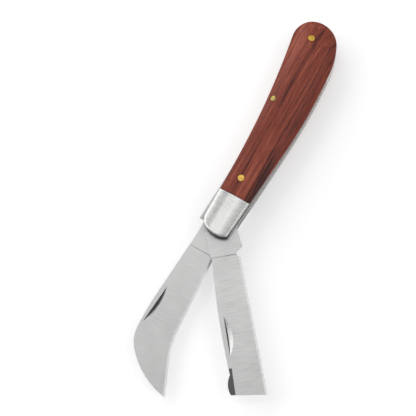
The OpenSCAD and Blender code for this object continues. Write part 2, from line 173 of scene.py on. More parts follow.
def depth_inside(xy, outline):
    """Distance from each point to a closed outline."""
    a, b = outline, np.roll(outline, -1, 0)
    d = b - a
    length = (d * d).sum(1)
    best = np.full(len(xy), 1e9)
    for i in range(len(a)):
        t = np.clip(((xy - a[i]) @ d[i]) / length[i], 0, 1)
        q = a[i] + t[:, None] * d[i] - xy
        best = np.minimum(best, (q * q).sum(1))
    return np.sqrt(best)


# ------------------------------------------------------- the knife's outlines, mm

# From the pivot axis: the butt, the nose's corners, the seam, the back, the end of its straight part
BUTT, NOSE, SEAM, BACK, BACK_STRAIGHT = 96.0, 5.1, 12.2, 7.7, 18.0
# The slot's edge above the pivot, and its slope in degrees
SLOT, SLOT_ANGLE = 5.16, 4.57
# The butt's lower and upper radius, and the height of their centres
R_LOW, R_TOP, BUTT_Y = 8.85, 11.15, -4.9
# Thickness of a cover, a liner and a layer, and the play beside a blade
COVER, LINER, LAYER, BLADE_GAP = 3.6, 0.6, 2.4, 0.05
# The crown across a cover, with the flat that it rests on, and the crown that falls to the butt
CROWN_R, CROWN_DROP, REST_FLAT = 28.0, 1.2, 0.08
BUTT_CROWN_R, BUTT_FALL, BUTT_RISE = 60.0, 18.0, 0.3
# The height that a rim keeps, and how far the liners stand behind the nose
RIM_LEFT, LINER_BACK = 0.33, 0.4
# Diameters of the rocker pin and of the other pins, and the radius of the blades' pivot hole
ROCKER_D, PIN_D, PIVOT_HOLE_R = 2.4, 2.7, 2.03
# Heights of the layers' lower faces
Z_REAR_LAYER = COVER + LINER
Z_CENTRE = Z_REAR_LAYER + LAYER
Z_FRONT_LAYER = Z_CENTRE + LINER
Z_FRONT_LINER = Z_FRONT_LAYER + LAYER
Z_FRONT_COVER = Z_FRONT_LINER + LINER
BLADE_T = LAYER - 2 * BLADE_GAP
# The square tang: its flats, its rounded corners, and the shoulder that the spring meets
TANG, TANG_CORNER, SHOULDER = 5.4, 7.1, 2.05
# Turns from open to closed and from open to half open, in degrees
CLOSED_TURN, HALF_OPEN = 175.5, 40.0


def slot_y(x):
    """Height of the slot's edge at x."""
    return SLOT - x * math.tan(math.radians(SLOT_ANGLE))


C_LOW, C_TOP = np.array([-BUTT + R_LOW, BUTT_Y]), np.array([-BUTT + R_TOP, BUTT_Y])
BACK_DX, BACK_DY = C_LOW[0] + BACK_STRAIGHT, BACK + BUTT_Y
BACK_R = (BACK_DX ** 2 + BACK_DY ** 2 - R_LOW ** 2) / (2 * (R_LOW - BACK_DY))
C_BACK = np.array([-BACK_STRAIGHT, -BACK - BACK_R])


def back_y(x):
    """Height of the handle's back edge at x."""
    return -BACK if x > -BACK_STRAIGHT else C_BACK[1] + math.sqrt(BACK_R ** 2 - (x - C_BACK[0]) ** 2)


ROCKER_X, ROCKER_DEPTH = -56.5, 2.5
ROCKER = np.array([ROCKER_X, back_y(ROCKER_X) + ROCKER_DEPTH])
BUTT_PIN = np.array([-BUTT + 8.6, -5.6])
SCALE_PIN = np.array([-19.9, -2.05])


def handle_outline():
    """The handle's outline, anticlockwise from the back edge at the nose."""
    belly_r, belly_x, haunch_r = 250.0, -38.0, 34.0
    nose_back_r, nose_slot_r, bow_r = 5.0, 1.2, 9.0
    p_belly = np.array([belly_x, slot_y(belly_x)])
    c_belly = p_belly - belly_r * way(90 - SLOT_ANGLE)
    c_haunch = meet(c_belly, belly_r - haunch_r, C_TOP, haunch_r - R_TOP, -1)
    p_haunch = c_belly + belly_r * (c_haunch - c_belly) / (belly_r - haunch_r)
    p_butt = c_haunch + haunch_r * (C_TOP - c_haunch) / (haunch_r - R_TOP)
    p_back = C_BACK + BACK_R * (C_LOW - C_BACK) / (BACK_R + R_LOW)
    c_nose = np.array([NOSE - nose_slot_r,
                       slot_y(NOSE - nose_slot_r) - nose_slot_r / math.cos(math.radians(SLOT_ANGLE))])
    straight = [np.array([x, slot_y(x)]) for x in np.linspace(c_nose[0], belly_x, 24)[1:]]
    back = [np.array([x, -BACK]) for x in np.linspace(-BACK_STRAIGHT, NOSE - nose_back_r, 14)[1:]]
    c_nose_back = np.array([NOSE - nose_back_r, nose_back_r - BACK])
    c_bow = meet(c_nose_back, bow_r - nose_back_r, c_nose, bow_r - nose_slot_r, 1)
    bow_a0, bow_a1 = angle_of(c_nose_back - c_bow), angle_of(c_nose - c_bow)
    return np.array(
        arc(c_nose_back, nose_back_r, -90, bow_a0, 10) + arc(c_bow, bow_r, bow_a0, bow_a1, 12)
        + arc(c_nose, nose_slot_r, bow_a1, 90 - SLOT_ANGLE, 8) + straight
        + arc(c_belly, belly_r, 90 - SLOT_ANGLE, angle_of(p_haunch - c_belly), 20)
        + arc(c_haunch, haunch_r, angle_of(p_haunch - c_haunch), angle_of(p_butt - c_haunch), 14)
        + arc(C_TOP, R_TOP, angle_of(p_butt - C_TOP), 180, 22)
        + arc(C_LOW, R_LOW, -180, angle_of(p_back - C_LOW), 26)
        + arc(C_BACK, BACK_R, angle_of(p_back - C_BACK), 90, 40) + back)


HANDLE = handle_outline()

# The heading that faces the spring in a closed blade, and where along the tang the kick stands
SHUT = 270 - CLOSED_TURN
KICK_AT = 2 * TANG


def shut_point(along, above):
    """A point on the tang's closing flat: along it, and above it."""
    n = way(SHUT)
    return (TANG + above) * n + along * np.array([n[1], -n[0]])


def tang_points():
    """From the closing flat round the square tang to the shoulder that the spring meets."""
    c = math.degrees(math.acos(TANG / TANG_CORNER))
    return ([TANG_CORNER * way(SHUT + c)] + arc([0, 0], TANG_CORNER, SHUT + c, 180 - c, 8)
            + arc([0, 0], TANG_CORNER, 180 + c - 0.01, 270 - c, 8)
            + [np.array([SHOULDER, -TANG]), np.array([SHOULDER, -BACK])])


# Where the grind starts, and the notch between edge and kick
PLUNGE, CHOIL_R = 13.3, 1.45
CHOIL = np.array([PLUNGE - 0.25, 4.75])
KICK = shut_point(KICK_AT + 0.1, 0.2)


def choil_points(edge_at, heading):
    """The notch between edge and kick, from where it meets the edge line through edge_at."""
    d = way(heading)
    foot = edge_at + ((CHOIL - edge_at) @ d) * d
    out = math.sqrt(CHOIL_R ** 2 - (foot - CHOIL) @ (foot - CHOIL))
    lip = foot + out * d
    return [lip] + arc(CHOIL, CHOIL_R, angle_of(lip - CHOIL), -180, 12)


def hook_path():
    """The pruning blade's cutting edge from the heel to the tip: points and headings."""
    tip = np.array([73.0, 14.2])
    edge_dir, heel_dir, edge_r, edge_len = 23.0, 3.0, 34.5, 16.3
    e1 = tip - edge_len * way(edge_dir)
    e0 = e1 - turned(edge_r, heel_dir, edge_dir)
    c = e1 + edge_r * way(edge_dir + 90)
    heel = e0 - (e0[0] - PLUNGE) / math.cos(math.radians(heel_dir)) * way(heel_dir)
    pts, heads = [heel, (heel + e0) / 2, e0], [heel_dir] * 3
    n = 22
    for i in range(1, n + 1):
        a = heel_dir + (edge_dir - heel_dir) * i / n
        pts.append(c + edge_r * way(a - 90))
        heads.append(a)
    pts += [(e1 + tip) / 2, tip]
    heads += [edge_dir] * 2
    return np.array(pts), heads


def pruning_outline():
    """The pruning blade's outline: tang, three arcs of the back up to the hook, edge, notch."""
    pts, _ = hook_path()
    tip = pts[-1]
    hook_dir, mid_dir, heel_dir, long_dir = 82.0, 42.0, 3.0, -4.0
    hook_r, belly_r, long_r = 34.0, 14.0, 130.0
    mid = tip - turned(hook_r, mid_dir, hook_dir)
    belly = mid - turned(belly_r, heel_dir, mid_dir)
    back = belly - turned(long_r, long_dir, heel_dir)
    edge = [p for p in pts[::-1] if p[0] > CHOIL[0] + CHOIL_R]
    return np.array(
        tang_points() + [np.array([PLUNGE - 4.3, -BACK - 0.07]), back]
        + arc(belly + long_r * way(heel_dir + 90), long_r, long_dir - 90, heel_dir - 90, 12)
        + arc(mid + belly_r * way(mid_dir + 90), belly_r, heel_dir - 90, mid_dir - 90, 14)
        + arc(mid + hook_r * way(mid_dir + 90), hook_r, mid_dir - 90, hook_dir - 90, 26)
        + edge[1:] + choil_points(pts[0], heel_dir) + [KICK, shut_point(KICK_AT - 2, 0)])


# The straight blade's square end and edge, and the round bark lifter on its spine
SQUARE, SQUARE_DIR, EDGE = 72.0, 80.0, 4.8
LIFT_R, LIFT_REACH, LIFT_IN = 8.0, 10.3, 5.6


def straight_outline():
    """The straight blade's outline: tang, bowed spine, bark lifter, square end, edge, notch."""
    corner, end = np.array([SQUARE, EDGE]), -way(SQUARE_DIR)
    lift = np.array([SQUARE - LIFT_IN, LIFT_R - LIFT_REACH])
    b = (lift - corner) @ end
    low = corner + (b + math.sqrt(b * b - (corner - lift) @ (corner - lift) + LIFT_R ** 2)) * end
    start, lift_a, spine_r = np.array([PLUNGE + 1.3, -BACK + 0.75]), 232.0, 318.0
    stop = lift + LIFT_R * way(lift_a)
    c = meet(start, spine_r, stop, spine_r, 1)
    return np.array(
        tang_points() + [np.array([PLUNGE - 2.3, -BACK + 0.3]), start]
        + arc(c, spine_r, angle_of(start - c), angle_of(stop - c), 24)
        + arc(lift, LIFT_R, lift_a, 360 + angle_of(low - lift), 14)
        + [corner - 0.25 * way(SQUARE_DIR), corner - [0.25, 0]] + choil_points(corner, 0)
        + [KICK, shut_point(KICK_AT - 2, 0)])


# ---------------------------------------------------------------- mesh tools

def mesh_object(name, bm, sharp=28):
    """An object from a bmesh in millimetres, smooth between its sharp edges."""
    bmesh.ops.recalc_face_normals(bm, faces=bm.faces)
    if bm.calc_volume(signed=True) < 0:
        bmesh.ops.reverse_faces(bm, faces=bm.faces)
    bm.transform(Matrix.Scale(MM, 4))
    mesh = bpy.data.meshes.new(name)
    bm.to_mesh(mesh)
    bm.free()
    o = bpy.data.objects.new(name, mesh)
    bpy.context.scene.collection.objects.link(o)
    mesh.shade_smooth()
    mesh.set_sharp_from_angle(angle=math.radians(sharp))
    return o


def loft(rings, close=True):
    """A closed bmesh through rings of equal length, capped at both ends."""
    bm = bmesh.new()
    loops = [[bm.verts.new(p) for p in ring] for ring in rings]
    n = len(loops[0])
    for a, b in zip(loops, loops[1:]):
        for i in range(n):
            j = (i + 1) % n
            bm.faces.new((a[i], a[j], b[j], b[i]))
    if close:
        bm.faces.new(loops[0][::-1])
        bm.faces.new(loops[-1])
    return bm


def plate(points, z0, z1, r, steps=3):
    """A flat plate with rounded rims, as a bmesh."""
    rings = []
    for z, s in ((z0, 1), (z1, -1)):
        part = []
        for i in range(steps + 1):
            a = math.radians(90 * i / steps)
            xy = inset(points, r * (1 - math.sin(a)))
            part.append([(x, y, z + s * r * (1 - math.cos(a))) for x, y in xy])
        rings += part if s == 1 else part[::-1]
    return loft(rings)


def prism(points, z0, z1):
    """A straight-sided bmesh on an outline."""
    return loft([[(x, y, z0) for x, y in points], [(x, y, z1) for x, y in points]])


def scratch(bm):
    """An object that only cuts, and is removed by carve."""
    return mesh_object("tool", bm)


def carve(o, tools, sharp=28):
    """Cuts each tool out of o, and removes the tools."""
    for t in tools:
        m = o.modifiers.new("cut", "BOOLEAN")
        m.operation, m.object, m.solver = "DIFFERENCE", t, "MANIFOLD"
    dg = bpy.context.evaluated_depsgraph_get()
    made = bpy.data.meshes.new_from_object(o.evaluated_get(dg))
    made.name = o.name
    o.modifiers.clear()
    o.data = made
    for t in tools:
        bpy.data.objects.remove(t)
    made.shade_smooth()
    made.set_sharp_from_angle(angle=math.radians(sharp))


def dress(o, body, materials, slot, *nodes):
    """Gives a piece its materials and body, and hides the CAD nodes that it stands for. slot is not
    used.
    """
    kept = [p.material_index for p in o.data.polygons]
    o.data.materials.clear()
    for m in materials:
        o.data.materials.append(m)
    for p, k in zip(o.data.polygons, kept):
        p.material_index = min(k, len(materials) - 1)
    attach(o, body)
    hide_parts(*nodes)


# ---------------------------------------------------------------- the handle's shell

def crown(x, y):
    """Height of the shell above the liner before its rim is rounded."""
    z = COVER + REST_FLAT - CROWN_R + np.sqrt(CROWN_R ** 2 - (y + CROWN_DROP) ** 2)
    fall = BUTT_FALL - BUTT
    butt = COVER + BUTT_RISE - BUTT_CROWN_R + np.sqrt(BUTT_CROWN_R ** 2 - np.minimum(x - fall, 0) ** 2)
    return np.minimum(np.minimum(z, butt), COVER)


def shoulder(x, depth, narrow, wide):
    """How far the rounded rim drops, at a depth inside the outline. It grows from bolster to butt."""
    run, least, growth = 66, 0.45, 1.35
    t = np.clip((-x - SEAM) / run, 0, 1)
    t = t * t * (3 - 2 * t)
    w = narrow + (wide - narrow) * t
    h = least + growth * t
    u = np.clip(1 - depth / w, 0, 1)
    return h * (0.5 * t * u + (1 - 0.5 * t) * (1 - np.sqrt(np.maximum(0, 1 - u * u))))


def surface(xy, narrow, wide):
    """Height of a cover's outer surface above its liner."""
    top = crown(xy[:, 0], xy[:, 1])
    drop = shoulder(xy[:, 0], depth_inside(xy, HANDLE), narrow, wide)
    return np.maximum(top - drop, RIM_LEFT * (1 + top))


def shell(narrow, wide):
    """One cover of the handle, flat side at z = 0. Its rings run in from the rim to a middle ridge."""
    ridge_x = np.linspace(-BUTT + 11, NOSE - 5.2, 30)
    upper = sorted(p.tolist() for p in HANDLE if p[1] > -4.5)
    lower = sorted(p.tolist() for p in HANDLE if p[1] < -5.2)
    ridge_y = (np.interp(ridge_x, *zip(*upper)) + np.interp(ridge_x, *zip(*lower))) / 2
    feet_x = np.clip(HANDLE[:, 0], ridge_x[0], ridge_x[-1])
    feet = np.stack([feet_x, np.interp(feet_x, ridge_x, ridge_y)], 1)
    reach = np.linalg.norm(feet - HANDLE, axis=1)
    steps = np.array([0, 0.06, 0.15, 0.3, 0.5, 0.75, 1.05, 1.4, 1.8, 2.25, 2.8, 3.4, 4.2])
    shares = [np.minimum(d / reach, 0.8) for d in steps]
    last = shares[-1]
    shares += [last + (1 - last) * f for f in (0.3, 0.6, 0.85)]
    rings = [[(x, y, 0.0) for x, y in HANDLE]]
    for s in shares:
        xy = HANDLE + (feet - HANDLE) * s[:, None]
        rings.append([(x, y, h) for (x, y), h in zip(xy, surface(xy, narrow, wide))])
    bm = loft(rings, close=False)
    n = len(HANDLE)
    bm.faces.new(ring_of(bm, 0, n)[::-1])
    bmesh.ops.triangulate(bm, faces=[bm.faces.new(ring_of(bm, len(rings) - 1, n))])
    return bm


def ring_of(bm, ring, n):
    """The vertices of one ring of n points."""
    bm.verts.ensure_lookup_table()
    return [bm.verts[ring * n + i] for i in range(n)]


def cut_at(bm, x, keep_above, rim):
    """Cuts the shell square at x, and softens the cut's top edge by rim."""
    side = 1 if keep_above else -1
    for offset in (side * rim, 0):
        whole = bm.verts[:] + bm.edges[:] + bm.faces[:]
        bmesh.ops.bisect_plane(bm, geom=whole, dist=1e-5, plane_co=(x + offset, 0, 0),
                               plane_no=(-side, 0, 0), clear_outer=offset == 0)
    for v in bm.verts:
        if abs(v.co.x - x) < 1e-4 and v.co.z > 1:
            v.co.z -= rim * 0.8
    bmesh.ops.holes_fill(bm, edges=[e for e in bm.edges if e.is_boundary])


def half_handle(name, front, wood, rim):
    """The wood or the bolster of one side."""
    s = bpy.context.scene.knife_handle
    bm = shell(s.bolster_shoulder / MM, s.butt_shoulder / MM)
    gap = s.seam_gap / MM / 2
    cut_at(bm, -SEAM - gap if wood else -SEAM + gap, not wood, rim)
    if front:
        bmesh.ops.translate(bm, verts=bm.verts, vec=(0, 0, Z_FRONT_COVER))
    else:
        for v in bm.verts:
            v.co.z = COVER - v.co.z
    return mesh_object(name, bm, 24)


# ---------------------------------------------------------------- blades

# Depth of the grind at its back and at the edge's bevel, its width, the bevel's width, half the edge
GRIND_BACK, GRIND_EDGE, GRIND_W, BEVEL_W, EDGE_LEFT = 0.12, 0.82, 15.0, 0.9, 0.03
SLOPE = (GRIND_EDGE - GRIND_BACK) / GRIND_W
# Length of the nail nicks, and how far the ground face lies below the grind's back there
NICK_LENGTH, NICK_BELOW = 16.0, 0.2


def grind_section():
    """The wedge ground off one face: distance in from the edge, and height."""
    rise = (BLADE_T / 2 - GRIND_EDGE - EDGE_LEFT) / BEVEL_W
    return [(-3, 3), (-3, EDGE_LEFT - BLADE_T / 2 - 3 * rise), (BEVEL_W, BEVEL_W * SLOPE - GRIND_EDGE),
            (GRIND_W + 9, 9 * SLOPE - GRIND_BACK), (GRIND_W + 9, 3)]


def grind_tool(points, heads, top, sign):
    """A cutter that follows the edge. sign is 1 for the front face and -1 for the rear one."""
    rings = []
    for (x, y), h in zip(points, heads):
        n = way(h - 90)
        rings.append([(x + d * n[0], y + d * n[1], top + sign * z) for d, z in grind_section()])
    return scratch(loft(rings))


def both_faces(points, heads, z):
    """The cutters of both faces of a blade that starts at height z."""
    return [grind_tool(points, heads, z + BLADE_T, 1), grind_tool(points, heads, z, -1)]


def nick_tool(p, heading, face_z, wall, width, depth):
    """A nail nick: a steep wall on the side of the spine, and a floor that rises away from it."""
    r = NICK_LENGTH ** 2 / (8 * depth) + depth / 2
    n = 48
    half = math.degrees(math.asin(NICK_LENGTH / 2 / r)) * 1.3
    low = [r * way(-90 + half * (2 * i / n - 1)) + [0, r - depth] for i in range(n + 1)]
    ring = low + [np.array([low[-1][0], 3]), np.array([low[0][0], 3])]
    bm = loft([[(x, -wall * z / depth, z) for x, z in ring],
               [(x, wall + width * 2, z + depth * 2) for x, z in ring]])
    bm.transform(Matrix.Translation((p[0], p[1], face_z))
                 @ Matrix.Rotation(math.radians(heading), 4, "Z")
                 @ Matrix.Translation((NICK_LENGTH / 2, 0, 0)))
    return scratch(bm)


def paint_cut_shade(o, boxes):
    """Gives the second material, a dark painted shade, to the slanting cut faces inside boxes.

    A box is its limits in x and in y, in millimetres, and the side of Y that its faces lean to."""
    for f in o.data.polygons:
        c, n = f.center / MM, f.normal
        for x0, x1, y0, y1, lean in boxes:
            if x0 < c.x < x1 and y0 < c.y < y1 and 0.2 < n.z < 0.995 and n.y * lean > 0.1:
                f.material_index = 1


def pivot_tool(z):
    """The cutter of a blade's pivot hole."""
    ring = [PIVOT_HOLE_R * way(a) for a in range(0, 360, 8)]
    return scratch(prism(ring, z - 1, z + BLADE_T + 1))


def pruning_mesh():
    """The pruning blade: rounded plate, both grinds, nail nick and pivot hole."""
    s = bpy.context.scene.knife_blade
    z = Z_REAR_LAYER + BLADE_GAP
    blank = plate(pruning_outline(), z, z + BLADE_T, s.edge_round / MM)
    o = mesh_object("pruning_blade_steel", blank)
    pts, heads = hook_path()
    pts[0] = pts[0] + (PLUNGE - pts[0][0]) * way(heads[0])
    pts = np.vstack([pts, pts[-1] + 8 * way(heads[-1])])
    tools = both_faces(pts, [0] + heads[1:] + heads[-1:], z)
    face = z + BLADE_T - GRIND_BACK - NICK_BELOW
    nick = nick_tool((33.4, -7.45), heading=-4.6, face_z=face, wall=0.75, width=0.7, depth=0.6)
    carve(o, tools + [nick, pivot_tool(z)], 12)
    nick_wall = (30, 53, -10, -5, 1)
    paint_cut_shade(o, [nick_wall])
    return o


def straight_mesh():
    """The straight blade: rounded plate, both grinds, nick, the lifter's chamfer, half opened."""
    s = bpy.context.scene.knife_blade
    z = Z_FRONT_LAYER + BLADE_GAP
    blank = plate(straight_outline(), z, z + BLADE_T, s.edge_round / MM)
    o = mesh_object("straight_blade_steel", blank)
    pts = [(PLUNGE, EDGE), (45, EDGE), (SQUARE + 12, EDGE)]
    tools = both_faces(pts, [0, 0, 0], z)
    face = z + BLADE_T - GRIND_BACK - NICK_BELOW
    fall, inner, outer, above = 1.6 / 2.7, 1.2, -5, 3
    lifter = loft([[(x, 0, 0), (x, inner, inner * fall), (x, inner, above), (x, outer, above),
                    (x, outer, outer * fall)] for x in (0, 20)])
    lifter.transform(Matrix.Translation((SQUARE - 13, 2.85 - LIFT_REACH, face))
                     @ Matrix.Rotation(math.radians(-3), 4, "Z"))
    nick = nick_tool((37.9, -6.65), heading=-1.5, face_z=face, wall=0.55,
                     width=s.nick_width / MM, depth=s.nick_depth / MM)
    carve(o, tools + [nick, scratch(lifter), pivot_tool(z)], 12)
    nick_wall, chamfer = (36, 55, -9, -4, 1), (SQUARE - 13.5, SQUARE + 1, -12, -6, -1)
    paint_cut_shade(o, [nick_wall, chamfer])
    o.data.transform(Matrix.Rotation(math.radians(HALF_OPEN), 4, "Z"))
    return o


# ---------------------------------------------------------------- springs

# Height of the arm and of the tail, radius of the lug, and the sweep of the folded blades' tips
SPRING_ARM, SPRING_TAIL, LUG_R, TIP_SWEEP = 2.3, 2.5, 2.9, 75.6
# The play between spring and tang, and between the spring's end and the shoulder
PAD_PLAY, END_PLAY = 0.02, 0.12
PAD_Y = -TANG - PAD_PLAY
SPRING_END = SHOULDER - END_PLAY
# The hollow under a folded blade's kick: radius, depth, and how far past the kick it is deepest
RELIEF_R, RELIEF_D, RELIEF_PAST = 12.0, 0.4, 0.8


def relief(at, along, inward):
    """The hollow's points from its nose side. at is on the spring's face, above the deepest spot."""
    c = at + (RELIEF_R - RELIEF_D) * inward
    half = math.acos(1 - RELIEF_D / RELIEF_R)
    return [c + RELIEF_R * (math.sin(a) * along - math.cos(a) * inward)
            for a in np.linspace(half, -half, 9)]


def spring_outline(raised):
    """A back spring: square end, slim arm, lug at the rocker pin, tail and filler at the butt."""
    foot = np.array([ROCKER[0], back_y(ROCKER[0])])
    foot_n = (foot - C_BACK) / BACK_R
    if raised:
        bend = 8.9
        head_a = angle_of(foot_n) - bend
        rise = -foot @ way(head_a) - TANG_CORNER - PAD_PLAY - SPRING_ARM
        r = rise / (1 - math.cos(math.radians(bend)))
        c = foot - r * foot_n
        n, t = way(head_a), np.array([way(head_a)[1], -way(head_a)[0]])
        head = c + r * n
        length = (SPRING_END - head[0]) / t[0]
        corner, a_foot = head + length * t, angle_of(foot_n)
        outer = [c + r * way(a) for a in np.linspace(a_foot, head_a, 40)] + [corner]
        deepest = head + (length - KICK_AT - RELIEF_PAST - SHOULDER) * t + SPRING_ARM * n
        hollow = [p for p in relief(deepest, t, n) if (p - head) @ t > 0.1]
        arm = [c + (r + SPRING_ARM) * way(a) for a in np.linspace(head_a, a_foot - 0.55, 40)]
        inner = [corner + SPRING_ARM * n] + hollow + arm
    else:
        outer = [np.array([x, back_y(x)]) for x in np.linspace(foot[0], -BACK_STRAIGHT, 40)] \
            + [np.array([SPRING_END, -BACK])]
        hollow = relief(np.array([-KICK_AT - RELIEF_PAST, PAD_Y]), way(0), way(90))
        arm_x = np.linspace(-BACK_STRAIGHT, foot[0] + 2.6, 40)
        arm = [np.array([x, back_y(x) + SPRING_ARM]) for x in arm_x]
        inner = [np.array([SPRING_END, PAD_Y])] + hollow + arm
    lug = [ROCKER + LUG_R * way(a) for a in np.linspace(20, 160, 16)]
    tail = [np.array([x, back_y(x) + SPRING_TAIL]) for x in np.linspace(-60.2, -74.2, 10)]
    sweep = [TIP_SWEEP * way(a) for a in np.linspace(185.2, 173.9, 12)]
    rim = [p for p in HANDLE if p[0] < -75.3]
    low = [np.array([x, back_y(x)]) for x in np.linspace(-75, foot[0] - 1, 16)]
    return np.array(outer + inner + lug + tail + sweep + rim + low)


def spring_mesh(name, z, raised):
    """A spring's plate, with its two large faces cut into triangles so that it bends well."""
    s = bpy.context.scene.knife_handle
    play = 0.02
    bm = plate(spring_outline(raised), z + play, z + LAYER - play, s.plate_round / MM, 2)
    for f in [f for f in bm.faces if len(f.verts) > 4]:
        bmesh.ops.triangulate(bm, faces=[f])
    return mesh_object(name, bm, 30)


# ---------------------------------------------------------------- materials

def nodes_of(name, colour, metallic, rough):
    """A new material, its node tree and its shader."""
    m = bpy.data.materials.new(name)
    m.use_nodes = True
    m.diffuse_color = (*colour, 1)
    tree = m.node_tree
    p = tree.nodes["Principled BSDF"]
    p.inputs["Base Color"].default_value = (*colour, 1)
    p.inputs["Metallic"].default_value = metallic
    p.inputs["Roughness"].default_value = rough
    return m, tree, p


class Wires:
    """Short calls for adding and joining shader nodes."""

    def __init__(self, tree):
        self.tree = tree

    def add(self, kind, **values):
        n = self.tree.nodes.new(kind)
        for k, v in values.items():
            setattr(n, k, v)
        return n

    def put(self, socket, value):
        if isinstance(value, bpy.types.NodeSocket):
            self.tree.links.new(value, socket)
        elif value is not None:
            socket.default_value = value

    def math(self, op, a, b=None, c=None):
        n = self.add("ShaderNodeMath", operation=op)
        for i, v in enumerate((a, b, c)):
            self.put(n.inputs[i], v)
        return n.outputs[0]

    def mix(self, share, a, b):
        n = self.add("ShaderNodeMix", data_type="RGBA")
        self.put(n.inputs["Factor"], share)
        for key, v in (("A", a), ("B", b)):
            socket = [s for s in n.inputs if s.name == key and s.type == "RGBA"][0]
            self.put(socket, (*v, 1) if isinstance(v, (tuple, list)) and len(v) == 3 else v)
        return [s for s in n.outputs if s.type == "RGBA"][0]

    def noise(self, vector, scale, detail=3.0, rough=0.55, warp=0.0):
        n = self.add("ShaderNodeTexNoise")
        self.put(n.inputs["Vector"], vector)
        for key, v in (("Scale", scale), ("Detail", detail), ("Roughness", rough),
                       ("Distortion", warp)):
            self.put(n.inputs[key], v)
        return n.outputs["Fac"]

    def ramp(self, value, low, high):
        n = self.add("ShaderNodeMapRange", interpolation_type="SMOOTHSTEP")
        for key, v in (("Value", value), ("From Min", low), ("From Max", high)):
            self.put(n.inputs[key], v)
        return n.outputs["Result"]

    def scaled(self, vector, by):
        n = self.add("ShaderNodeVectorMath", operation="MULTIPLY")
        self.put(n.inputs[0], vector)
        self.put(n.inputs[1], by)
        return n.outputs[0]

    def split(self, vector):
        n = self.add("ShaderNodeSeparateXYZ")
        self.put(n.inputs[0], vector)
        return n.outputs

    def place(self):
        return self.add("ShaderNodeTexCoord").outputs["Object"]

    def group(self, tree, **values):
        n = self.add("ShaderNodeGroup", node_tree=tree)
        for k, v in values.items():
            self.put(n.inputs[k.replace("_", " ")], v)
        return n

    def bump(self, height, strength, distance):
        n = self.add("ShaderNodeBump")
        self.put(n.inputs["Height"], height)
        n.inputs["Strength"].default_value = strength
        n.inputs["Distance"].default_value = distance
        return n.outputs["Normal"]


def new_group(name, inputs, outputs):
    """A shader node group with named sockets. inputs maps a name to (type, default)."""
    g = bpy.data.node_groups.new(name, "ShaderNodeTree")
    for key, (kind, value) in inputs.items():
        s = g.interface.new_socket(name=key, in_out="INPUT", socket_type=kind)
        if value is not None:
            s.default_value = value
    for key, kind in outputs.items():
        g.interface.new_socket(name=key, in_out="OUTPUT", socket_type=kind)
    w = Wires(g)
    return g, w, w.add("NodeGroupInput"), w.add("NodeGroupOutput")


def brushed_group():
    """Fine parallel lines left by a belt, with soft patches. Lines run along Y of the scaled vector."""
    if "brushed lines" in bpy.data.node_groups:
        return bpy.data.node_groups["brushed lines"]
    F, V = "NodeSocketFloat", "NodeSocketVector"
    inputs = {"Vector": (V, None), "Across": (F, 9000.0), "Along": (F, 120.0), "Patches": (F, 160.0)}
    g, w, i, o = new_group("brushed lines", inputs, {"Lines": F, "Patch": F})
    x, y, z = w.split(i.outputs["Vector"])
    c = w.add("ShaderNodeCombineXYZ")
    w.put(c.inputs[0], w.math("MULTIPLY", x, i.outputs["Across"]))
    w.put(c.inputs[1], w.math("MULTIPLY", y, i.outputs["Along"]))
    w.put(c.inputs[2], w.math("MULTIPLY", z, i.outputs["Along"]))
    w.put(o.inputs["Lines"], w.noise(c.outputs[0], 1.0, 4.0, 0.65))
    w.put(o.inputs["Patch"], w.noise(i.outputs["Vector"], i.outputs["Patches"], 3.0, 0.5))
    return g


def steel(name, colour, rough, across, along, depth, contrast, turn=None):
    """Satin steel with grinding lines."""
    m, tree, p = nodes_of(name, colour, 1.0, rough)
    w = Wires(tree)
    v = w.place()
    if turn:
        r = w.add("ShaderNodeVectorRotate", rotation_type="Z_AXIS")
        w.put(r.inputs["Vector"], v)
        r.inputs["Angle"].default_value = math.radians(turn)
        v = r.outputs[0]
    b = w.group(brushed_group(), Vector=v, Across=across, Along=along)
    lines, patch = b.outputs["Lines"], b.outputs["Patch"]
    dark = tuple(c * (1 - contrast) for c in colour)
    light = tuple(min(1.0, c * (1 + contrast * 0.6)) for c in colour)
    blend = w.math("ADD", w.math("MULTIPLY", lines, 0.8), w.math("MULTIPLY", patch, 0.2))
    w.put(p.inputs["Base Color"], w.mix(w.ramp(blend, 0.32, 0.68), dark, light))
    w.put(p.inputs["Roughness"], w.math("MULTIPLY_ADD", lines, 0.16, rough - 0.08))
    w.put(p.inputs["Normal"], w.bump(lines, 0.35, depth))
    return m


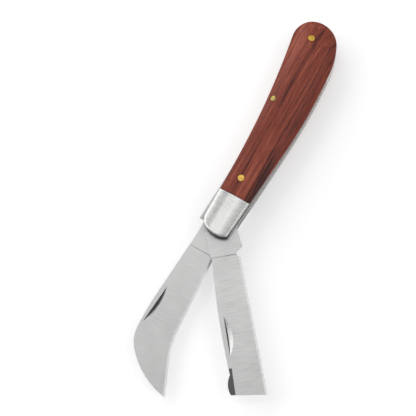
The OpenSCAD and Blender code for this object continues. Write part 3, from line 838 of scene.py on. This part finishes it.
def rosewood():
    """Oily reddish wood: long streaks, darker and lighter bands along the handle, short pores."""
    f = bpy.context.scene.knife_finish
    dark, mid, light = tuple(f.wood_dark), tuple(f.wood), tuple(f.wood_light)
    m, tree, p = nodes_of("oiled_rosewood", mid, 0.0, 0.45)
    w = Wires(tree)
    v = w.place()
    x, y, z = w.split(v)
    drift = w.noise(w.scaled(v, (16.0, 60.0, 90.0)), 1.0, 2.0)
    sway = w.math("MULTIPLY_ADD", drift, 2.4 * MM, -1.2 * MM)
    across = w.math("ADD", y, sway)
    grain = w.add("ShaderNodeCombineXYZ")
    for socket, value in zip(grain.inputs, (x, across, z)):
        w.put(socket, value)
    grain = grain.outputs[0]
    wide = w.noise(w.scaled(grain, (13.0, 420.0, 260.0)), 1.0, 6.0, 0.72, 0.4)
    fine = w.noise(w.scaled(grain, (70.0, 1900.0, 1400.0)), 1.0, 5.0, 0.74, 0.25)
    pores = w.noise(w.scaled(grain, (330.0, 6200.0, 6200.0)), 1.0, 2.0, 0.5)

    def band(centre, half, soft):
        """A soft-edged streak along the handle."""
        off = w.math("ABSOLUTE", w.math("SUBTRACT", across, centre * MM))
        return w.math("SUBTRACT", 1.0, w.ramp(off, (half - soft) * MM, (half + soft) * MM))

    toward_nose = w.ramp(x, -62 * MM, -22 * MM)
    toward_butt = w.ramp(x, -60 * MM, -86 * MM)
    tone = w.math("ADD", w.math("MULTIPLY", wide, 0.46), w.math("MULTIPLY", fine, 0.54))
    # Change of tone, centre, half width and softness in mm, and the part of the handle that shows it
    for change, centre, half, soft, part in (
            (-0.085, -2.6, 0.45, 0.5, 1.0), (-0.075, 3.7, 0.3, 0.45, 1.0),
            (-0.075, 5.8, 2.2, 1.2, toward_nose), (0.05, 1.4, 1.6, 1.0, toward_nose),
            # The lighter band on the back at the butt is a painted highlight on the rounded shoulder.
            (0.035, -9.0, 3.0, 2.5, toward_butt)):
        mask = w.math("MULTIPLY", band(centre, half, soft), part)
        tone = w.math("MULTIPLY_ADD", mask, change, tone)
    col = w.mix(w.ramp(tone, 0.36, 0.50), dark, mid)
    col = w.mix(w.ramp(tone, 0.50, 0.62), col, light)
    pit = w.ramp(pores, 0.60, 0.70)
    col = w.mix(w.math("MULTIPLY", pit, 0.7), col, dark)
    w.put(p.inputs["Base Color"], col)
    w.put(p.inputs["Roughness"], w.math("MULTIPLY_ADD", fine, 0.22, 0.34))
    height = w.math("SUBTRACT", w.math("MULTIPLY", fine, 0.4), pit)
    w.put(p.inputs["Normal"], w.bump(height, 0.35, 0.00004))
    p.inputs["Specular IOR Level"].default_value = 0.32
    return m


def brass(name, colour, rough, slot_highlight=None):
    """Brass with faint scratches. slot_highlight is a paler tone towards the slot side: a painted
    highlight on a liner's edges.

    With slot_highlight, the faces hidden between the layers and the end under the nose are dark:
    painted shade."""
    shade_share, painted_shade_share = 0.72, 0.07
    m, tree, p = nodes_of(name, colour, 1.0, rough)
    w = Wires(tree)
    v = w.place()
    b = w.group(brushed_group(), Vector=v, Across=4000.0, Along=700.0, Patches=500.0)
    shade = tuple(c * shade_share for c in colour)
    tone = w.mix(w.ramp(b.outputs["Patch"], 0.35, 0.65), shade, colour)
    if slot_highlight:
        # Paler towards the slot side: painted highlight.
        tone = w.mix(w.ramp(w.split(v)[1], -4 * MM, 1 * MM), tone, slot_highlight)
        # Painted shade: near-black on the flat faces between the layers and on the end under the nose.
        upright = w.math("ABSOLUTE", w.split(w.add("ShaderNodeNewGeometry").outputs["True Normal"])[2])
        hidden = w.math("MAXIMUM", w.ramp(upright, 0.90, 0.99), w.ramp(w.split(v)[0], 1 * MM, 3.5 * MM))
        tone = w.mix(hidden, tone, tuple(c * painted_shade_share for c in slot_highlight))
    w.put(p.inputs["Base Color"], tone)
    w.put(p.inputs["Roughness"], w.math("MULTIPLY_ADD", b.outputs["Lines"], 0.2, rough - 0.1))
    w.put(p.inputs["Normal"], w.bump(b.outputs["Lines"], 0.3, 0.00002))
    return m


# ---------------------------------------------------------------- operators

class KNIFE_OT_scales(bpy.types.Operator):
    """Builds the two wooden scales with their rounded rims and pin holes"""
    bl_idname = "knife.scales"
    bl_label = "Wooden scales"

    def execute(self, context):
        s = context.scene.knife_handle
        material = rosewood()
        over = 1
        for name, front, node in (("front_scale_wood", True, "front_scale"),
                                  ("rear_scale_wood", False, "rear_scale")):
            o = half_handle(name, front, wood=True, rim=0.06)
            tools = []
            for at, d in ((ROCKER, ROCKER_D), (BUTT_PIN, PIN_D), (SCALE_PIN, PIN_D)):
                ring = [at + (d / 2 + s.pin_ring / MM) * way(a) for a in range(0, 360, 6)]
                z0 = Z_FRONT_COVER - over if front else -over
                tools.append(scratch(prism(ring, z0, z0 + COVER + 2 * over)))
            carve(o, tools, 24)
            dress(o, "handle", [material], "rosewood", node)
        return {"FINISHED"}


class KNIFE_OT_bolsters(bpy.types.Operator):
    """Builds the two steel bolsters"""
    bl_idname = "knife.bolsters"
    bl_label = "Bolsters"

    def execute(self, context):
        f = context.scene.knife_finish
        m = steel("satin_bolster_steel", tuple(f.bolster), rough=0.25, across=6000.0, along=260.0,
                  depth=0.000004, contrast=0.14)
        wall, _, p = nodes_of("painted_shade_wall_steel", tuple(f.wall), 0.3, 0.7)
        p.inputs["Specular IOR Level"].default_value = 0.1
        for name, front, node in (("front_bolster_steel", True, "front_bolster"),
                                  ("rear_bolster_steel", False, "rear_bolster")):
            o = half_handle(name, front, wood=False, rim=0.16)
            # Every upright wall takes the second, near-black material: painted shade.
            for face in o.data.polygons:
                upright = abs(face.normal.z) < 0.2
                face.material_index = int(upright)
            dress(o, "handle", [m, wall], "satin_steel", node)
        return {"FINISHED"}


class KNIFE_OT_liners(bpy.types.Operator):
    """Builds the three brass liners"""
    bl_idname = "knife.liners"
    bl_label = "Liners"

    def execute(self, context):
        s, f = context.scene.knife_handle, context.scene.knife_finish
        m = brass("satin_liner_brass", tuple(f.liner), 0.36, tuple(f.liner_slot_highlight))
        outline = HANDLE.copy()
        nose_from, nose_run = 2, 2
        outline[:, 0] -= LINER_BACK * np.clip((outline[:, 0] - nose_from) / nose_run, 0, 1)
        for name, z in (("rear_liner", COVER), ("centre_liner", Z_CENTRE),
                        ("front_liner", Z_FRONT_LINER)):
            o = mesh_object(name + "_plate", plate(outline, z, z + LINER, s.plate_round / MM, 2), 30)
            dress(o, "handle", [m], "liner_brass", name)
        return {"FINISHED"}


class KNIFE_OT_blades(bpy.types.Operator):
    """Builds the pruning blade and the straight blade, ground on both faces"""
    bl_idname = "knife.blades"
    bl_label = "Blades"

    def execute(self, context):
        f = context.scene.knife_finish
        hooked = steel("ground_pruning_steel", tuple(f.blade), rough=0.33, across=5200.0, along=150.0,
                       depth=0.000006, contrast=0.12)
        square = steel("ground_straight_steel", tuple(f.blade), rough=0.33, across=4200.0, along=120.0,
                       depth=0.000008, contrast=0.17, turn=-HALF_OPEN)
        # The nicks' walls and the lifter's chamfer get this dark steel as painted shade.
        dark = steel("painted_shade_cut_steel", tuple(f.cut), rough=0.42, across=2600.0, along=300.0,
                     depth=0.000006, contrast=0.15)
        dress(pruning_mesh(), "hooked_blade", [hooked, dark], "blade_steel", "pruning_blade")
        dress(straight_mesh(), "square_blade", [square, dark], "blade_steel", "straight_blade")
        return {"FINISHED"}


class KNIFE_OT_springs(bpy.types.Operator):
    """Builds the two back springs, which bend between the rocker pin and their square ends"""
    bl_idname = "knife.springs"
    bl_label = "Back springs"

    def execute(self, context):
        f = context.scene.knife_finish
        m = steel("satin_spring_steel", tuple(f.spring), rough=0.36, across=400.0, along=5200.0,
                  depth=0.000012, contrast=0.12)
        for node, body, z, raised in (("rear_spring", "back_spring_rear", Z_REAR_LAYER, False),
                                      ("front_spring", "back_spring_front", Z_FRONT_LAYER, True)):
            o = spring_mesh(node + "_steel", z, raised)
            o.data.materials.append(m)
            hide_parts(node)
            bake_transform(o)
        return {"FINISHED"}


def pin_mesh(name, at, d, z_rear, z_front):
    """A pin. An end is flat at the height given for it, or with None a head that follows the wood."""
    s = bpy.context.scene.knife_handle
    rings = []
    for front, z in enumerate((z_rear, z_front)):
        part = []
        for share in (0.35, 0.65, 0.85, 0.95, 1):
            ring = [at + d / 2 * share * way(a) for a in range(0, 360, 10)]
            if z is not None:
                part.append([(x, y, z) for x, y in ring])
                continue
            h = surface(np.array(ring), s.bolster_shoulder / MM, s.butt_shoulder / MM)
            h = np.minimum(h + s.pin_dome / MM * (1 - share ** 4), COVER)
            z_head = Z_FRONT_COVER + h if front else COVER - h
            part.append([(x, y, k) for (x, y), k in zip(ring, z_head)])
        rings += part[::-1] if front else part
    return mesh_object(name + "_brass", loft(rings), 30)


class KNIFE_OT_pins(bpy.types.Operator):
    """Builds the brass pins, each head shaped to the wood beside it"""
    bl_idname = "knife.pins"
    bl_label = "Pins"

    def execute(self, context):
        f = context.scene.knife_finish
        bright = brass("polished_pin_brass", tuple(f.pin), 0.34)
        # The butt pin's lighter brass is painted highlight; its higher roughness is its satin finish.
        satin = brass("lit_satin_pin_brass", tuple(f.pin_lit_satin), 0.6)
        # The rocker pin's darker brass is painted shade.
        shaded = brass("shaded_pin_brass", tuple(f.pin_shaded), 0.36)
        for name, at, d, z_rear, z_front, m in (
                ("rocker_pin", ROCKER, ROCKER_D, None, None, shaded),
                ("butt_pin", BUTT_PIN, PIN_D, None, None, satin),
                ("front_scale_pin", SCALE_PIN, PIN_D, Z_FRONT_LINER, None, bright),
                ("rear_scale_pin", SCALE_PIN, PIN_D, None, Z_REAR_LAYER, bright)):
            dress(pin_mesh(name, at, d, z_rear, z_front), "handle", [m], "pin_brass", name)
        return {"FINISHED"}


class KNIFE_OT_hidden(bpy.types.Operator):
    """Gives the hidden pivot pin its steel"""
    bl_idname = "knife.hidden"
    bl_label = "Pivot pin"

    def execute(self, context):
        f = context.scene.knife_finish
        m = steel("pivot_steel", tuple(f.bolster), rough=0.30, across=500.0, along=500.0,
                  depth=0.00001, contrast=0.05)
        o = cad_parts["pivot_pin"]
        if not o.material_slots:
            o.data.materials.append(m)
        for s in o.material_slots:
            s.material = m
        return {"FINISHED"}


# The stage. Floor: half width and drop in mm, and glow. The rest in metres and degrees
FLOOR_HALF, FLOOR_DROP, FLOOR_GLOW = 3000, 0.05, 0.42
FLOOR_TONE = (0.86, 0.86, 0.865)
AIM = (-0.02, 0, 0)
CAMERA_AT, CAMERA_TURN, LENS = (0.09848, 0.08291, 0.55095), (13.8132, 3.1501, 119.3748), 117.21


def linked(name, data):
    """A new object in the scene."""
    o = bpy.data.objects.new(name, data)
    bpy.context.scene.collection.objects.link(o)
    return o


def lamp(name, at, wide, tall, radiance):
    """A soft rectangular light that faces the knife."""
    data = bpy.data.lights.new(name, "AREA")
    data.shape, data.size, data.size_y = "RECTANGLE", wide, tall
    data.energy = radiance * math.pi * wide * tall
    o = linked(name, data)
    o.location = at
    o.rotation_euler = (Vector(AIM) - Vector(at)).to_track_quat("-Z", "Y").to_euler()


def floor_material():
    """A white floor that shows as background to the camera and in reflections, and keeps shadows."""
    m, tree, p = nodes_of("white_floor", FLOOR_TONE, 0.0, 0.9)
    w = Wires(tree)
    path = w.add("ShaderNodeLightPath").outputs
    seen = w.math("ADD", path["Is Camera Ray"], path["Is Glossy Ray"])
    seen = w.math("MINIMUM", w.math("ADD", seen, path["Is Transmission Ray"]), 1.0)
    w.put(p.inputs["Emission Strength"], w.math("MULTIPLY", seen, FLOOR_GLOW))
    p.inputs["Emission Color"].default_value = (1, 1, 1, 1)
    p.inputs["Specular IOR Level"].default_value = 0.0
    return m


class KNIFE_OT_stage(bpy.types.Operator):
    """Builds the floor, the soft lights and the camera"""
    bl_idname = "knife.stage"
    bl_label = "Stage"

    def execute(self, context):
        st = context.scene.knife_studio
        scene = context.scene
        scene.view_settings.view_transform = "Standard"
        bm = bmesh.new()
        bmesh.ops.create_grid(bm, x_segments=1, y_segments=1, size=FLOOR_HALF)
        floor = mesh_object("floor", bm)
        floor.location.z = -FLOOR_DROP * MM
        floor.data.materials.append(floor_material())

        world = bpy.data.worlds.new("room")
        scene.world = world
        world.use_nodes = True
        bg = world.node_tree.nodes["Background"]
        bg.inputs["Color"].default_value = (1, 1, 1, 1)
        bg.inputs["Strength"].default_value = st.room

        lamp("key_light", (-0.15, -1.60, 1.15), wide=3.2, tall=1.7, radiance=1.25 * st.key)
        lamp("top_light", (-0.30, -0.22, 1.9), wide=2.4, tall=0.42, radiance=1.1 * st.top)
        lamp("fill_light", (-0.50, 1.15, 1.60), wide=2.6, tall=0.9, radiance=0.95 * st.fill)

        cam = bpy.data.cameras.new("camera")
        cam.sensor_width, cam.lens = 36, LENS
        cam.clip_start, cam.clip_end = 0.01, 20
        scene.camera = linked("camera", cam)
        scene.camera.location = CAMERA_AT
        scene.camera.rotation_euler = [math.radians(a) for a in CAMERA_TURN]
        return {"FINISHED"}


OPERATORS = (KNIFE_OT_stage, KNIFE_OT_scales, KNIFE_OT_bolsters, KNIFE_OT_liners, KNIFE_OT_blades,
             KNIFE_OT_springs, KNIFE_OT_pins, KNIFE_OT_hidden)
SETTINGS = {"knife_handle": KnifeHandleSettings, "knife_blade": KnifeBladeSettings,
            "knife_finish": KnifeFinishSettings, "knife_studio": KnifeStudioSettings}


class KNIFE_PT_panel(bpy.types.Panel):
    """The knife's pieces and settings"""
    bl_idname = "KNIFE_PT_panel"
    bl_label = "Folding knife"
    bl_space_type = "VIEW_3D"
    bl_region_type = "UI"
    bl_category = "Knife"

    def draw(self, context):
        for operator in OPERATORS:
            self.layout.operator(operator.bl_idname)
        for key in SETTINGS:
            group = getattr(context.scene, key)
            for prop in group.__annotations__:
                self.layout.prop(group, prop)


def register():
    for c in (*SETTINGS.values(), *OPERATORS, KNIFE_PT_panel):
        bpy.utils.register_class(c)
    for key, c in SETTINGS.items():
        setattr(bpy.types.Scene, key, PointerProperty(type=c))


def unregister():
    for key in SETTINGS:
        delattr(bpy.types.Scene, key)
    for c in reversed((*SETTINGS.values(), *OPERATORS, KNIFE_PT_panel)):
        bpy.utils.unregister_class(c)


def main():
    register()
    bpy.ops.knife.stage()
    bpy.ops.knife.scales()
    bpy.ops.knife.bolsters()
    bpy.ops.knife.liners()
    bpy.ops.knife.blades()
    bpy.ops.knife.springs()
    bpy.ops.knife.pins()
    bpy.ops.knife.hidden()
    bpy.context.view_layer.update()


if __name__ == "__main__":
    main()
